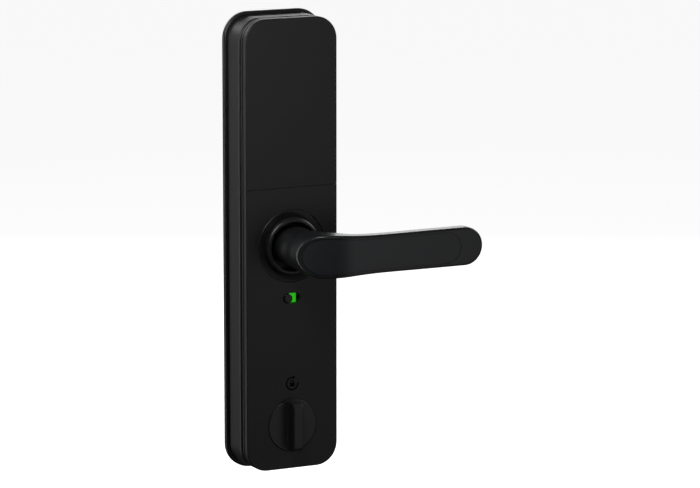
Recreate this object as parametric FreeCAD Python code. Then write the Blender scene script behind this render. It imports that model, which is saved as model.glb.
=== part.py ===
import FreeCAD, Part

import math
import os

# Room-side unit of a keypad smart lock, in millimetres.
# Seen from the room, X runs right, Y runs into the door and Z runs up.
# The origin is on the lever's spindle axis, at the door's face. "Depth" is the distance from the door
# towards the room, so a point at depth d has y = -d.

# ---- plate outline ----
face_width = 68.4
face_top = 154.9
face_bottom = 154.2
face_corner = 15.5
face_edge_round = 0.8
flange_overhang = 2.6
flange_edge_round = 1.2

# ---- layers, from the door outwards ----
gasket_thickness = 0.8
base_thickness = 3.2
shell_depth = 17.8
reveal_depth = 3.1
lip_depth = 1.7
parting_gap = 1.2
cover_depth = 3.6

# ---- walls and clearances ----
plate_thickness = 1.8
plate_pocket_inset = 3.0
base_opening_inset = 6.5
gasket_width = 8.0
housing_wall = 2.5
deck_thickness = 2.5
housing_edge_round = 1.2
reveal_setback = 2.0
parting_setback = 1.2
cover_wall = 1.8
bezel_width = 4.1
crossbar_width = 3.4
fit_gap = 0.3
running_gap = 0.05
seam_gap = 0.3
overlap = 0.5

# ---- hooks of the mounting plate, ledges of the housing ----
hook_x = 13.0
hook_half_width = 3.0
hook_leg = 1.5
hook_lip_height = 3.0
hook_reach = 8.0
hook_above_wall = 0.6
rib_side_gap = 1.0
ledge_depth = 2.0
ledge_width = 2.4
ledge_length = 8.0
ledge_heights = (54.0, 118.0)

# ---- battery cover ----
seam_height = 40.0
rail_low = 52.0
rail_high = 132.0
rail_height = 2.7
rail_web = 0.8
rail_lip_width = 1.7
rail_lip_thickness = 0.6
hook_thickness = 0.6
hook_end_gap = 3.0

# ---- battery tray and cells ----
cell_radius = 7.1
cell_length = 50.5
cell_edge_round = 0.5
cell_nipple_radius = 2.75
cell_nipple_height = 1.2
cell_pitch = 14.6
cell_rows = 2
cell_columns = 4
cell_floor_gap = 0.25
tray_wall = 1.2
tray_low = 30.8
tray_floor_back = 12.8
tray_rib_width = 0.8
tray_rib_height = 2.0
spring_height = 4.0
spring_wire = 0.3
spring_radius = 3.2
spring_turns = 3
contact_thickness = 0.4
contact_half = 5.0
terminal_tail_half = 1.5
terminal_slot_half = 1.8
terminal_slot_height = 0.8

# ---- circuit board ----
board_back = 6.2
board_thickness = 1.6
board_half = 26.0
board_low = 31.0
board_high = 134.0
board_corner = 3.0
board_post_x = 22.0
board_post_heights = (42.0, 129.0)
board_post_radius = 2.3
board_post_bore = 1.0
board_screw_radius = 0.9
board_screw_head = 1.9
board_screw_head_height = 1.3
radio_half_width = 9.0
radio_low = 102.0
radio_high = 124.0
radio_thickness = 2.6
buzzer_x = 15.0
buzzer_z = 88.0
buzzer_radius = 6.0
buzzer_thickness = 4.2
capacitor_x = -15.5
capacitor_heights = (80.0, 92.0)
capacitor_radius = 3.6
capacitor_foot = 0.8
capacitor_top = 4.4
socket_thickness = 4.4
socket_wall = 1.2
keypad_socket_x = 0.0
keypad_socket_z = 36.0
keypad_socket_half = 7.0
mortise_socket_x = -17.5
mortise_socket_z = 51.0
mortise_socket_half = 4.5
socket_half_height = 3.0

# ---- reset switch and button ----
reset_height = 87.0
reset_switch_half = 3.0
reset_switch_thickness = 3.2
reset_well_depth = 1.6
reset_stem_radius = 1.6
reset_proud = 0.8
reset_travel = 0.6

# ---- screws through the tray into the plate ----
unit_screw_height = 62.0
unit_screw_radius = 1.95
unit_screw_head = 3.3
unit_screw_head_height = 2.0
unit_screw_hole = 2.2
unit_screw_boss = 4.6
plate_screw_hole = 2.0
unit_board_hole = 5.0

# ---- lever ----
neck_radius = 12.6
neck_bush_gap = 0.5
shoulder_rise = 5.6
shoulder_length = 2.2
shoulder_radius = 14.2
shoulder_round = 0.8
waist_radius = 13.5
waist_share = 0.48
lever_rise = 55.2
lever_thickness = 12.0
lever_root_radius = 14.7
lever_tip_radius = 13.1
lever_waist = ((24.0, 13.5), (60.0, 13.0))
lever_tip = 117.0
lever_bend_radius = 44.0
lever_bend_x = 20.5
lever_front_round = 1.6
lever_back_round = 4.0
web_radius = 12.0
web_ledge = 2.4
beyond_lever = 40.0
insert_thickness = 1.2
insert_border = 2.4
insert_end = 100.4
insert_line = 0.25
insert_recess = 0.1
set_screw_rise = 2.8
set_screw_radius = 2.5
set_screw_socket = 1.25
lever_turn_degrees = 50.0

# ---- lever bearing, hub and spindle ----
hub_radius = 9.5
hub_spigot_radius = 9.0
hub_back = 6.0
hub_spigot_length = 6.8
hub_clip_offset = 0.8
hub_clip_thickness = 1.1
hub_clip_width = 2.6
clip_groove = 0.8
spindle_side = 8.0
spindle_reach = 45.0
spindle_chamfer = 0.6
bush_body_radius = 12.9
bush_flange = 2.5
cassette_radius = 24.5
cassette_back = 8.6
cassette_wall = 1.5
cassette_ear = 19.5
cassette_ear_radius = 4.0
cassette_ear_thickness = 2.0
cassette_screw_radius = 1.4
cassette_screw_head = 2.6
cassette_screw_head_height = 1.8
stop_gap_degrees = 1.5
stop_end_degrees = 13.0
stop_width = 3.5
cam_radius = 12.0
cam_thickness = 2.5
cam_deck_gap = 0.4
cam_lug_radius = 21.0
cam_lug_half_angle = 12.0
return_spring_radius = 14.2
return_spring_wire = 0.8
return_spring_turns = 3

# ---- rose ----
collar_outer = 20.0
collar_inner = 16.8
collar_height = 4.0
collar_inner_round = 0.5
collar_flange = 1.5
collar_flange_width = 3.0
dish_outer = 24.7
dish_drop = 1.1
dish_edge = 0.35
dish_rim = 1.3
dish_skirt = 1.5

# ---- privacy slide ----
slide_height = -35.9
slide_slot_length = 13.2
slide_slot_width = 7.0
slide_slot_wall = 1.2
slide_knob_radius = 3.1
slide_knob_proud = 1.4
slide_knob_round = 0.7
slide_carrier_half = 12.5
slide_carrier_half_height = 5.2
slide_carrier_thickness = 1.8
slide_carrier_drop = 3.8
slide_peg_half = 1.0
slide_peg_reach = 1.2
strip_thickness = 0.4
strip_half_height = 4.0
strip_right = 4.7
switch_board_thickness = 1.4
switch_board_left = 14.0
switch_board_right = 18.0
switch_board_half_height = 7.0
switch_thickness = 2.2
switch_left = 5.0
switch_right = 11.5
switch_half_height = 3.0
switch_channel_gap = 0.4

# ---- lock symbol ----
symbol_height = -95.1
symbol_radius = 4.8
symbol_stroke = 1.1
symbol_depth = 0.3
arrow_half = 1.5
arrow_length = 1.9
padlock_half = 1.8
padlock_low = -2.1
padlock_high = 0.5
bow_height = 1.0
bow_outer = 1.45
bow_inner = 0.75

# ---- thumbturn ----
turn_height = -123.9
turn_radius = 17.9
turn_proud = 0.5
turn_edge_round = 0.5
turn_bar_width = 7.0
turn_bar_height = 10.0
turn_bar_inset = 0.9
turn_bar_round = 0.6
turn_bar_end_round = 4.0
turn_bar_root_round = 0.7
turn_disc_thickness = 3.9
turn_shaft_radius = 6.0
turn_shaft_back = 12.0
turn_slot_length = 10.0
turn_clip_offset = 0.8
turn_clip_thickness = 1.0
turn_clip_width = 2.2
turn_bush_radius = 8.9
turn_bush_flange = 1.8
turn_bush_flange_width = 2.6
turn_cam_radius = 10.6
turn_cam_flat = 9.4
turn_cam_gap = 0.5
leaf_thickness = 0.6
leaf_half_length = 8.0
leaf_width = 3.5
leaf_foot = 1.5
leaf_foot_half = 2.0
leaf_seat_width = 3.8
leaf_seat_half = 3.0
leaf_seat_depth = 5.0
leaf_deck_gap = 1.0
tailpiece_width = 6.0
tailpiece_thickness = 2.5
tailpiece_reach = 42.0
tailpiece_end_gap = 0.5

# ---- fixings ----
bolt_spacing = 144.0
bolt_hole_radius = 2.75
spindle_hole_radius = 11.0
tailpiece_hole_radius = 9.0
cable_slot_length = 16.0
cable_slot_width = 8.0
cable_slot_height = 44.0
panel_peg_x = 26.4
panel_peg_heights = (12.0, -75.0)
panel_peg_radius = 2.6
panel_peg_bore = 0.95
panel_peg_roof = 1.5
panel_screw_radius = 0.9
panel_screw_head = 2.4
panel_screw_head_height = 1.8
deck_screw_hole = 1.5
socket_share = 0.6

# ---- stations worked out from the values above ----
gasket_front = gasket_thickness
plate_front = gasket_front + plate_thickness
base_front = gasket_front + base_thickness
shell_front = base_front + shell_depth
deck_back = shell_front - deck_thickness
reveal_front = shell_front + reveal_depth
lip_front = reveal_front + lip_depth
cover_back = lip_front + parting_gap
face_depth = cover_back + cover_depth
cover_inside = face_depth - cover_wall
face_half = face_width / 2
tray_floor_front = tray_floor_back + tray_wall
tray_inset = housing_wall + 2 * fit_gap
tray_rim = shell_front - fit_gap
cell_depth = tray_floor_front + cell_floor_gap + cell_radius
contact_low = tray_low + tray_wall
contact_high = contact_low + 2 * contact_thickness + cell_rows * cell_length + spring_height
board_front = board_back + board_thickness
unit_screw_x = cell_pitch
neck_back = shell_front + bush_flange + neck_bush_gap
shoulder_back = face_depth + shoulder_rise
shoulder_front = shoulder_back + shoulder_length
set_screw_depth = shoulder_front + set_screw_rise
hub_spigot_front = shoulder_front + hub_spigot_length
lever_front = face_depth + lever_rise
lever_back = lever_front - lever_thickness
unit_screw_seat = tray_floor_back - 1.2
leaf_seat_x = turn_cam_flat + fit_gap / 3 + leaf_thickness + leaf_foot
cassette_screw_tip = deck_back + 1.8
bend_depth = lever_front - lever_bend_radius
web_corner_x = lever_root_radius + web_radius
web_corner_depth = lever_back - web_radius
join_depth = web_corner_depth - web_ledge
waist_depth = shoulder_front + waist_share * (join_depth - shoulder_front)
hub_clip_back = hub_back + hub_clip_offset
cam_front = deck_back - cam_deck_gap
cam_back = cam_front - cam_thickness
hook_low = base_opening_inset - face_bottom + hook_above_wall
slide_travel = slide_slot_length - slide_slot_width
slide_knob_x = -slide_travel / 2
carrier_front = face_depth - slide_carrier_drop
carrier_back = carrier_front - slide_carrier_thickness
switch_back = shell_front + switch_board_thickness
switch_front = switch_back + switch_thickness
turn_clip_back = turn_shaft_back + turn_clip_offset
turn_cam_back = turn_clip_back + turn_clip_thickness + turn_cam_gap


def point(x, depth, z):
    return FreeCAD.Vector(x, -depth, z)


def outline(half_width, low, high, radius, depth):
    """A rectangle with round corners, on the plane at this depth."""
    near = radius * (1 - math.sqrt(0.5))
    corners = [
        (half_width, low, -1, 1), (half_width, high, -1, -1),
        (-half_width, high, 1, -1), (-half_width, low, 1, 1),
    ]
    arcs = []
    for x, z, sx, sz in corners:
        along_z = point(x, depth, z + sz * radius)
        middle = point(x + sx * near, depth, z + sz * near)
        along_x = point(x + sx * radius, depth, z)
        first_is_x = (x > 0) == (z == low)
        ends = (along_x, middle, along_z) if first_is_x else (along_z, middle, along_x)
        arcs.append(ends)
    edges = []
    for here, following in zip(arcs, arcs[1:] + arcs[:1]):
        edges.append(Part.Arc(*here).toShape())
        edges.append(Part.LineSegment(here[2], following[0]).toShape())
    return Part.Wire(edges)


def extrude(wire, back, front):
    return Part.Face(wire).extrude(FreeCAD.Vector(0, back - front, 0))


def plate_slab(inset, back, front):
    """A slab with the plate's outline, moved in by an inset."""
    wire = outline(face_half - inset, inset - face_bottom, face_top - inset, face_corner - inset, back)
    return extrude(wire, back, front)


def block(x_low, x_high, back, front, z_low, z_high):
    return Part.makeBox(x_high - x_low, front - back, z_high - z_low, FreeCAD.Vector(x_low, -front, z_low))


def disc(radius, back, front, x=0.0, z=0.0):
    return Part.makeCylinder(radius, front - back, point(x, back, z), FreeCAD.Vector(0, -1, 0))


def ring(outer, inner, back, front, x=0.0, z=0.0):
    return disc(outer, back, front, x, z).cut(disc(inner, back, front, x, z))


def stadium(length, width, back, front, x=0.0, z=0.0):
    """A slot shape lying along X."""
    half = (length - width) / 2
    body = block(x - half, x + half, back, front, z - width / 2, z + width / 2)
    left = disc(width / 2, back, front, x - half, z)
    right = disc(width / 2, back, front, x + half, z)
    return joined(body, left, right)


def turned(profile, x=0.0, z=0.0):
    """A ring or disc turned about a line along Y, from (radius, depth) points."""
    corners = [point(x + r, d, z) for r, d in profile]
    face = Part.Face(Part.makePolygon(corners + corners[:1]))
    return face.revolve(point(x, 0, z), FreeCAD.Vector(0, 1, 0), 360)


def joined(*shapes):
    return shapes[0].fuse(list(shapes[1:])).removeSplitter()


def without(shape, *cutters):
    return shape.cut(list(cutters)).removeSplitter()


def lies_flat(edge, depth):
    """True where an edge lies wholly on the plane at this depth."""
    bounds = edge.BoundBox
    return abs(bounds.YMin + depth) < 1e-4 and abs(bounds.YMax + depth) < 1e-4


def rounded_at(shape, radius, depth):
    """Round every edge that lies flat on the plane at this depth."""
    return shape.makeFillet(radius, [edge for edge in shape.Edges if lies_flat(edge, depth)])


def edges_along(shape, length):
    """The edges that run this far or farther along Y."""
    return [edge for edge in shape.Edges if edge.BoundBox.YLength > length - 0.01]


def lower_first(a, b):
    return (a, b) if a < b else (b, a)


def screw(radius, head_radius, head_height, head_back, tip, x, z):
    """A screw along Y: the head starts at head_back and the tip lies at the depth tip."""
    step = 1 if tip > head_back else -1
    head_front = head_back + step * head_height
    head = disc(head_radius, *lower_first(head_back, head_front), x, z)
    shank = disc(radius, *lower_first(head_front, tip), x, z)
    socket_end = head_back + step * head_height * socket_share
    socket = disc(radius * socket_share, *lower_first(head_back, socket_end), x, z)
    return without(joined(head, shank), socket)


def coil(radius, wire, height, turns, start):
    """A coil of wire standing along Z from a start point on its axis. The wire has eight flats."""
    path = Part.Wire(Part.makeHelix(height / turns, height, radius))
    corners = []
    for step in range(8):
        angle = math.pi / 4 * step
        corners.append(FreeCAD.Vector(radius + wire * math.cos(angle), 0, wire * math.sin(angle)))
    section = Part.makePolygon(corners + corners[:1])
    solid = path.makePipeShell([section], True, True)
    solid.translate(start)
    return solid


def save(name, shape):
    shape.exportStep("parts/%s.step" % name)
    print(name, len(shape.Solids), "%.1f" % shape.Volume, shape.isValid())


# ------------------------------------------------------------------ plate and casing

def door_gasket():
    outer_inset = 2 * fit_gap - flange_overhang
    sheet = plate_slab(outer_inset, 0, gasket_front)
    return without(sheet, plate_slab(outer_inset + gasket_width, 0, gasket_front))


def rear_base():
    body = rounded_at(plate_slab(-flange_overhang, gasket_front, base_front), flange_edge_round, base_front)
    pocket = plate_slab(plate_pocket_inset, gasket_front, plate_front)
    opening = plate_slab(base_opening_inset, plate_front, base_front)
    return without(body, pocket, opening)


def mounting_plate():
    body = plate_slab(plate_pocket_inset + fit_gap, gasket_front, plate_front)
    holes = [
        disc(spindle_hole_radius, gasket_front, plate_front),
        disc(tailpiece_hole_radius, gasket_front, plate_front, 0, turn_height),
        disc(bolt_hole_radius, gasket_front, plate_front, 0, bolt_spacing / 2),
        disc(bolt_hole_radius, gasket_front, plate_front, 0, -bolt_spacing / 2),
        stadium(cable_slot_length, cable_slot_width, gasket_front, plate_front, 0, cable_slot_height),
    ]
    for side in (-1, 1):
        x = side * unit_screw_x
        holes.append(disc(plate_screw_hole, gasket_front, plate_front, x, unit_screw_height))
    body = without(body, *holes)
    for side in (-1, 1):
        low, high = side * hook_x - hook_half_width, side * hook_x + hook_half_width
        leg = block(low, high, plate_front, hook_reach, hook_low, hook_low + hook_leg)
        lip = block(low, high, hook_reach - hook_leg, hook_reach, hook_low - hook_lip_height, hook_low)
        body = joined(body, leg, lip)
    return body


def housing_ribs():
    """Ledges that carry the tray, and ribs that the plate's hooks hold down."""
    ribs = []
    inner = face_half - housing_wall
    for side in (-1, 1):
        x_low, x_high = lower_first(side * (inner - ledge_width), side * (inner + overlap))
        ledge_back = tray_floor_back - ledge_depth
        for z in ledge_heights:
            ribs.append(block(x_low, x_high, ledge_back, tray_floor_back, z, z + ledge_length))
        low = side * hook_x - hook_half_width - rib_side_gap
        high = side * hook_x + hook_half_width + rib_side_gap
        back, front = base_front + fit_gap, hook_reach - hook_leg - fit_gap
        rib_low = housing_wall - face_bottom - overlap
        ribs.append(block(low, high, back, front, rib_low, hook_low - 2 * fit_gap))
    return ribs


def main_housing():
    body = rounded_at(plate_slab(0, base_front, shell_front), housing_edge_round, shell_front)
    cavity = plate_slab(housing_wall, base_front, deck_back)
    bay = plate_slab(housing_wall, deck_back, shell_front)
    bay = bay.common(block(-face_half, face_half, deck_back, shell_front, tray_low - 2 * fit_gap, face_top))
    cutters = [cavity, bay]
    cutters.append(disc(bush_body_radius + running_gap, deck_back, shell_front))
    cutters.append(disc(turn_bush_radius + running_gap, deck_back, shell_front, 0, turn_height))
    for side in (-1, 1):
        for z in panel_peg_heights:
            cutters.append(disc(deck_screw_hole, deck_back, shell_front, side * panel_peg_x, z))
        for z in (-cassette_ear, cassette_ear):
            cutters.append(disc(deck_screw_hole, deck_back, cassette_screw_tip, side * cassette_ear, z))
    body = without(body, *cutters)
    seat_back, seat_front = deck_back - leaf_seat_depth, deck_back
    seat_low, seat_high = turn_height - leaf_seat_half, turn_height + leaf_seat_half
    leaf_seat = block(leaf_seat_x, leaf_seat_x + leaf_seat_width, seat_back, seat_front, seat_low, seat_high)
    return joined(body, leaf_seat, *housing_ribs())


def cover_rail(side):
    inner = face_half - bezel_width
    web = lower_first(side * inner, side * (inner + rail_web))
    lip = lower_first(side * inner, side * (inner + rail_lip_width))
    top = lip_front + rail_height
    upright = block(*web, lip_front, top, rail_low, rail_high)
    edge = block(*lip, top - rail_lip_thickness, top, rail_low, rail_high)
    return upright.fuse(edge)


def bezel_frame():
    """The frame between housing and cover. Its lip stands out between two set-back bands."""
    neck = plate_slab(reveal_setback, shell_front, reveal_front)
    lip = plate_slab(0, reveal_front, lip_front)
    rim_front = cover_back - fit_gap
    rim = plate_slab(parting_setback, lip_front, rim_front)
    body = without(joined(neck, lip, rim), plate_slab(bezel_width, shell_front, rim_front))
    half = face_half - bezel_width + overlap
    bar_high = tray_low - fit_gap
    bar = block(-half, half, shell_front, lip_front, bar_high - crossbar_width, bar_high)
    return joined(body, bar, cover_rail(-1), cover_rail(1))


def cover_blank():
    """Front panel and battery cover before they are parted at the seam."""
    body = rounded_at(plate_slab(0, cover_back, face_depth), face_edge_round, face_depth)
    return without(body, plate_slab(cover_wall, cover_back, cover_inside))


def battery_cover():
    above = block(-face_half, face_half, cover_back, face_depth, seam_height + seam_gap / 2, face_top)
    body = cover_blank().common(above)
    wall = face_half - cover_wall
    rail_edge = face_half - bezel_width + rail_lip_width
    hooks = []
    for side in (-1, 1):
        x_low, x_high = lower_first(side * (rail_edge - hook_thickness), side * (wall + fit_gap))
        z_low = rail_low + hook_end_gap
        z_high = rail_high - hook_end_gap
        hooks.append(block(x_low, x_high, cover_back, cover_back + hook_thickness, z_low, z_high))
    return joined(body, *hooks)


def slide_slot(margin, back, front):
    length, width = slide_slot_length + 2 * margin, slide_slot_width + 2 * margin
    return stadium(length, width, back, front, 0, slide_height)


def lock_symbol():
    """A padlock inside a turning arrow, as thin inlays."""
    back, front = face_depth - symbol_depth, face_depth
    z = symbol_height
    start = symbol_stroke / 2
    middle = symbol_radius - symbol_stroke / 2
    beyond = symbol_radius + overlap
    band = ring(symbol_radius, symbol_radius - symbol_stroke, back, front, 0, z)
    band = band.cut(block(start, beyond, back, front, z + start, z + beyond))
    corners = [(start, middle + arrow_half), (start + arrow_length, middle), (start, middle - arrow_half)]
    path = [point(x, back, z + height) for x, height in corners]
    head = extrude(Part.makePolygon(path + path[:1]), back, front)
    padlock = block(-padlock_half, padlock_half, back, front, z + padlock_low, z + padlock_high)
    bow_low = z + bow_height
    bow = ring(bow_outer, bow_inner, back, front, 0, bow_low)
    bow = bow.common(block(-bow_outer, bow_outer, back, front, bow_low, bow_low + bow_outer))
    legs = []
    for side in (-1, 1):
        x_low, x_high = lower_first(side * bow_inner, side * bow_outer)
        legs.append(block(x_low, x_high, back, front, z + padlock_high, bow_low))
    return Part.makeCompound([joined(band, head), joined(padlock, bow, *legs)])


def front_panel():
    below = block(-face_half, face_half, cover_back, face_depth, -face_bottom, seam_height - seam_gap / 2)
    body = cover_blank().common(below)
    slot_wall = slide_slot(slide_slot_wall, carrier_front + fit_gap, cover_inside)
    body = joined(body, slot_wall)
    cutters = [
        disc(dish_outer + fit_gap, cover_inside, face_depth),
        disc(turn_radius + fit_gap, cover_inside, face_depth, 0, turn_height),
        slide_slot(0, carrier_front, face_depth),
    ]
    cutters += lock_symbol().Solids
    body = without(body, *cutters)
    for side in (-1, 1):
        for z in panel_peg_heights:
            peg = disc(panel_peg_radius, shell_front, cover_inside, side * panel_peg_x, z)
            pilot = disc(panel_peg_bore, shell_front, cover_inside - panel_peg_roof, side * panel_peg_x, z)
            body = joined(body, peg).cut(pilot)
    return body


def panel_screws():
    head_back = deck_back - panel_screw_head_height
    tip = cover_inside - panel_peg_roof - 1.0
    screws = []
    for side in (-1, 1):
        for z in panel_peg_heights:
            screws.append(screw(panel_screw_radius, panel_screw_head, panel_screw_head_height, head_back,
                                tip, side * panel_peg_x, z))
    return Part.makeCompound(screws)


# ------------------------------------------------------------------ battery bay

def column_x(column):
    return (column - (cell_columns - 1) / 2) * cell_pitch


def battery_tray():
    outer = plate_slab(tray_inset, tray_floor_back, tray_rim)
    outer = outer.common(block(-face_half, face_half, tray_floor_back, tray_rim, tray_low, face_top))
    inner = plate_slab(tray_inset + tray_wall, tray_floor_front, tray_rim)
    inner_block = block(-face_half, face_half, tray_floor_front, tray_rim, contact_low, face_top)
    body = outer.cut(inner.common(inner_block))
    wall_top = contact_high + tray_wall
    end_wall = block(-face_half, face_half, tray_floor_front, tray_rim, contact_high, wall_top)
    end_wall = end_wall.common(plate_slab(tray_inset, tray_floor_front, tray_rim))
    additions = [end_wall]
    rib_front = tray_floor_front + tray_rib_height
    for boundary in range(1, cell_columns):
        x = column_x(boundary) - cell_pitch / 2
        x_low, x_high = x - tray_rib_width / 2, x + tray_rib_width / 2
        additions.append(block(x_low, x_high, tray_floor_front, rib_front, contact_low, contact_high))
    cutters = [disc(unit_screw_hole, board_front, rib_front, 0, reset_height)]
    for side in (-1, 1):
        x = side * unit_screw_x
        additions.append(disc(unit_screw_boss, plate_front, tray_floor_front, x, unit_screw_height))
        cutters.append(disc(unit_screw_hole, plate_front, tray_floor_front, x, unit_screw_height))
        cutters.append(disc(unit_screw_head + fit_gap, unit_screw_seat, rib_front, x, unit_screw_height))
        slot_x = side * column_x(cell_columns - 1)
        slot_low, slot_high = slot_x - terminal_slot_half, slot_x + terminal_slot_half
        slot_top = contact_low + terminal_slot_height
        cutters.append(block(slot_low, slot_high, tray_floor_back, tray_floor_front, contact_low, slot_top))
        for z in board_post_heights:
            additions.append(disc(board_post_radius, board_front, tray_floor_back, side * board_post_x, z))
            cutters.append(disc(board_post_bore, board_front, tray_floor_back, side * board_post_x, z))
    return without(joined(body, *additions), *cutters)


def battery_cell(column, row):
    """An AA cell. Cells in a column touch end to end and all point the same way."""
    spring_on_top = column % 2 == 0
    low = contact_low + contact_thickness + (0 if spring_on_top else spring_height) + row * cell_length
    x = column_x(column)
    can_low = low + (cell_nipple_height if spring_on_top else 0)
    can = Part.makeCylinder(cell_radius, cell_length - cell_nipple_height, point(x, cell_depth, can_low))
    can = can.makeFillet(cell_edge_round, [edge for edge in can.Edges if len(edge.Vertexes) == 1])
    nipple_low = low if spring_on_top else low + cell_length - cell_nipple_height
    nipple = Part.makeCylinder(cell_nipple_radius, cell_nipple_height, point(x, cell_depth, nipple_low))
    return joined(can, nipple)


def battery_spring(column):
    spring_on_top = column % 2 == 0
    low = contact_low + contact_thickness
    if spring_on_top:
        low = contact_high - contact_thickness - spring_height
    margin = spring_wire + running_gap
    start = point(column_x(column), cell_depth, low + margin)
    return coil(spring_radius, spring_wire, spring_height - 2 * margin, spring_turns, start)


def contact_plate(first_column, last_column, low):
    x_low = column_x(first_column) - contact_half
    x_high = column_x(last_column) + contact_half
    back, front = cell_depth - contact_half, cell_depth + contact_half
    return block(x_low, x_high, back, front, low, low + contact_thickness)


def contact_terminal(column):
    x = column_x(column)
    x_low, x_high = x - terminal_tail_half, x + terminal_tail_half
    tail = block(x_low, x_high, board_front, cell_depth, contact_low, contact_low + contact_thickness)
    return joined(contact_plate(column, column, contact_low), tail)


def main_board():
    body = block(-board_half, board_half, board_back, board_front, board_low, board_high)
    body = body.makeFillet(board_corner, edges_along(body, board_thickness))
    cutters = []
    for side in (-1, 1):
        cutters.append(disc(unit_board_hole, board_back, board_front, side * unit_screw_x, unit_screw_height))
        for z in board_post_heights:
            cutters.append(disc(board_post_bore, board_back, board_front, side * board_post_x, z))
    return without(body, *cutters)


def board_screws():
    head_back = board_back - board_screw_head_height
    tip = tray_floor_back - 1.0
    screws = []
    for side in (-1, 1):
        for z in board_post_heights:
            screws.append(screw(board_screw_radius, board_screw_head, board_screw_head_height, head_back,
                                tip, side * board_post_x, z))
    return Part.makeCompound(screws)


def radio_module():
    front = board_front + radio_thickness
    body = block(-radio_half_width, radio_half_width, board_front, front, radio_low, radio_high)
    return body.makeFillet(0.6, edges_along(body, radio_thickness))


def buzzer():
    front = board_front + buzzer_thickness
    body = disc(buzzer_radius, board_front, front, buzzer_x, buzzer_z)
    return body.cut(disc(1.0, front - 1.2, front, buzzer_x, buzzer_z))


def board_capacitors():
    cans = []
    half = capacitor_radius + 0.4
    foot_front = board_front + capacitor_foot
    for z in capacitor_heights:
        foot = block(capacitor_x - half, capacitor_x + half, board_front, foot_front, z - half, z + half)
        can = disc(capacitor_radius, foot_front, board_front + capacitor_top, capacitor_x, z)
        cans.append(joined(foot, can))
    return Part.makeCompound(cans)


def cable_socket(x, z, half):
    """A cable socket on the board, open downwards."""
    front = board_front + socket_thickness
    body = block(x - half, x + half, board_front, front, z - socket_half_height, z + socket_half_height)
    inner = half - socket_wall
    mouth_high = z + socket_half_height - socket_wall
    mouth = block(x - inner, x + inner, board_front + socket_wall, front - socket_wall,
                  z - socket_half_height, mouth_high)
    return body.cut(mouth)


def keypad_cable_socket():
    return cable_socket(keypad_socket_x, keypad_socket_z, keypad_socket_half)


def mortise_cable_socket():
    return cable_socket(mortise_socket_x, mortise_socket_z, mortise_socket_half)


def reset_switch():
    half = reset_switch_half
    front = board_front + reset_switch_thickness
    body = block(-half, half, board_front, front, reset_height - half, reset_height + half)
    return body.cut(disc(reset_stem_radius + fit_gap, board_front + reset_well_depth, front, 0, reset_height))


def reset_button():
    seat = board_front + reset_well_depth + reset_travel + fit_gap
    top = tray_floor_front + reset_proud
    return rounded_at(disc(reset_stem_radius, seat, top, 0, reset_height), 0.4, top)


def unit_screws():
    tip = gasket_front + fit_gap
    screws = []
    for side in (-1, 1):
        x = side * unit_screw_x
        screws.append(screw(unit_screw_radius, unit_screw_head, unit_screw_head_height,
                            unit_screw_seat + unit_screw_head_height, tip, x, unit_screw_height))
    return Part.makeCompound(screws)


# ------------------------------------------------------------------ lever

def lever_outline(inset, end_x, depth):
    """The bar seen from the room: a large round end on the lever axis, drawn in, then a smaller round end."""
    root, tip = lever_root_radius - inset, lever_tip_radius - inset
    tip_x = end_x - tip
    root_low, root_top = point(0, depth, -root), point(0, depth, root)
    tip_low, tip_top = point(tip_x, depth, -tip), point(tip_x, depth, tip)
    along = FreeCAD.Vector(1, 0, 0)
    sides = []
    for side, start, end in ((1, root_top, tip_top), (-1, root_low, tip_low)):
        between = [point(x, depth, side * (height - inset)) for x, height in lever_waist]
        curve = Part.BSplineCurve()
        curve.interpolate(Points=[start] + between + [end], InitialTangent=along, FinalTangent=along)
        sides.append(curve.toShape())
    return Part.Wire([
        Part.Arc(root_low, point(-root, depth, 0), root_top).toShape(),
        sides[0],
        Part.Arc(tip_top, point(end_x, depth, 0), tip_low).toShape(),
        sides[1],
    ])


def upright_cylinder(radius, x, depth):
    """A cylinder along Z, taller than the lever on both sides."""
    return Part.makeCylinder(radius, 2 * beyond_lever, FreeCAD.Vector(x, -depth, -beyond_lever))


def behind_front(offset):
    """Everything behind the lever's front surface, which bends back towards the neck."""
    radius = lever_bend_radius - offset
    far = lever_tip + beyond_lever
    below = block(lever_bend_x - radius, far, 0, bend_depth, -beyond_lever, beyond_lever)
    beside = block(lever_bend_x, far, 0, lever_front - offset, -beyond_lever, beyond_lever)
    return joined(upright_cylinder(radius, lever_bend_x, bend_depth), below, beside)


def behind_back():
    """The space behind the bar, with a round inside corner where the bar leaves the neck."""
    far = lever_tip + beyond_lever
    below = block(lever_root_radius, far, 0, web_corner_depth, -beyond_lever, beyond_lever)
    beside = block(web_corner_x, far, 0, lever_back, -beyond_lever, beyond_lever)
    return joined(below, beside, upright_cylinder(web_radius, web_corner_x, web_corner_depth))


def web_hollow():
    """The same inside corner turned about the lever axis, so that the bar's sides run into the neck."""
    lean = web_radius * math.sqrt(0.5)
    low = point(lever_root_radius, web_corner_depth, 0)
    middle = point(web_corner_x - lean, web_corner_depth + lean, 0)
    high = point(web_corner_x, lever_back, 0)
    far = web_corner_x + beyond_lever
    corners = [high, point(far, lever_back, 0), point(far, 0, 0), point(lever_root_radius, 0, 0), low]
    edges = [Part.LineSegment(start, end).toShape() for start, end in zip(corners, corners[1:])]
    edges.append(Part.Arc(low, middle, high).toShape())
    face = Part.Face(Part.Wire(edges))
    return face.revolve(FreeCAD.Vector(0, 0, 0), FreeCAD.Vector(0, 1, 0), 360)


def from_front(x, depth):
    """How far a point stands outside the front surface."""
    if x >= lever_bend_x:
        return depth - lever_front
    return math.hypot(x - lever_bend_x, depth - bend_depth) - lever_bend_radius


def from_back(x, depth):
    """How far a point stands outside the back surface of the bar and its web."""
    if x >= web_corner_x:
        return depth - lever_back
    return math.hypot(x - web_corner_x, depth - web_corner_depth) - web_radius


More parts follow.
